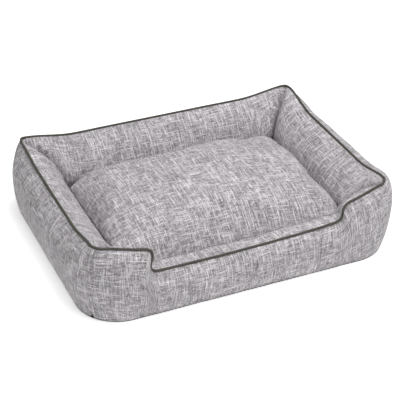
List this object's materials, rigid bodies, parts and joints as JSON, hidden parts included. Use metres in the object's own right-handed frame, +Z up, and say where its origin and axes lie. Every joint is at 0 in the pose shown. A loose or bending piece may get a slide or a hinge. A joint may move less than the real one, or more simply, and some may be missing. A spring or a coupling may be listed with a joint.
{
  "type": "pet bed",
  "caption": "Rectangular bolster pet bed with stuffed walls, a low front entry, piped top edge and a loose crowned cushion with a zipped cover.",
  "frame": {"origin": "on the floor, under the middle of the bed's outline", "axes": "+X right along the long side seen from the entry, +Y from the entry to the back wall, +Z up"},
  "size_m": [0.888, 0.668, 0.2109],
  "materials": {
    "linen_cover": "heathered plain weave with slubs, matt",
    "piping_fabric": "dark olive-grey bias tape, matt",
    "base_cloth": "dark non-slip cloth, matt",
    "fibre_fill": "white polyester fibre, fluffy",
    "cotton_cord": "twisted cord, matt",
    "thread": "sewing thread",
    "zip_tape": "woven tape, matt",
    "zip_coil": "nylon coil, satin",
    "zip_metal": "painted zinc, satin"
  },
  "bodies": {
    "bed": {"bottom_panel": "base_cloth", "deck_panel": "base_cloth", "outer_wrap_panel": "linen_cover", "outer_back_panel": "linen_cover", "inner_left_panel": "linen_cover", "inner_right_panel": "linen_cover", "inner_back_panel": "linen_cover", "inner_front_panel": "linen_cover", "piping_cover": "piping_fabric", "piping_cord": "cotton_cord", "corner_tacks": "thread", "left_wall_fill": "fibre_fill", "right_wall_fill": "fibre_fill", "back_wall_fill": "fibre_fill", "front_wall_fill": "fibre_fill"},
    "cushion": {"cushion_top_panel": "linen_cover", "cushion_bottom_panel": "linen_cover", "cushion_fill": "fibre_fill", "zip_tapes": "zip_tape", "zip_coils": "zip_coil", "zip_end_stops": "zip_metal"},
    "zip_slider": {"zip_slider": "zip_metal"},
    "zip_pull": {"zip_pull": "zip_metal"}
  },
  "joints": [
    {"name": "cushion_lift", "type": "slide", "parent": "bed", "child": "cushion", "axis": [0, 0, 1], "range_m": [0, 0.35]},
    {"name": "zip_slide", "type": "slide", "parent": "cushion", "child": "zip_slider", "axis": [-1, 0, 0], "range_m": [0, 0.437]},
    {"name": "zip_pull_hinge", "type": "hinge", "parent": "zip_slider", "child": "zip_pull", "pos_m": [0.2185, 0.1853, 0.04], "axis": [0, 0, -1], "range_deg": [0, 40]}
  ]
}
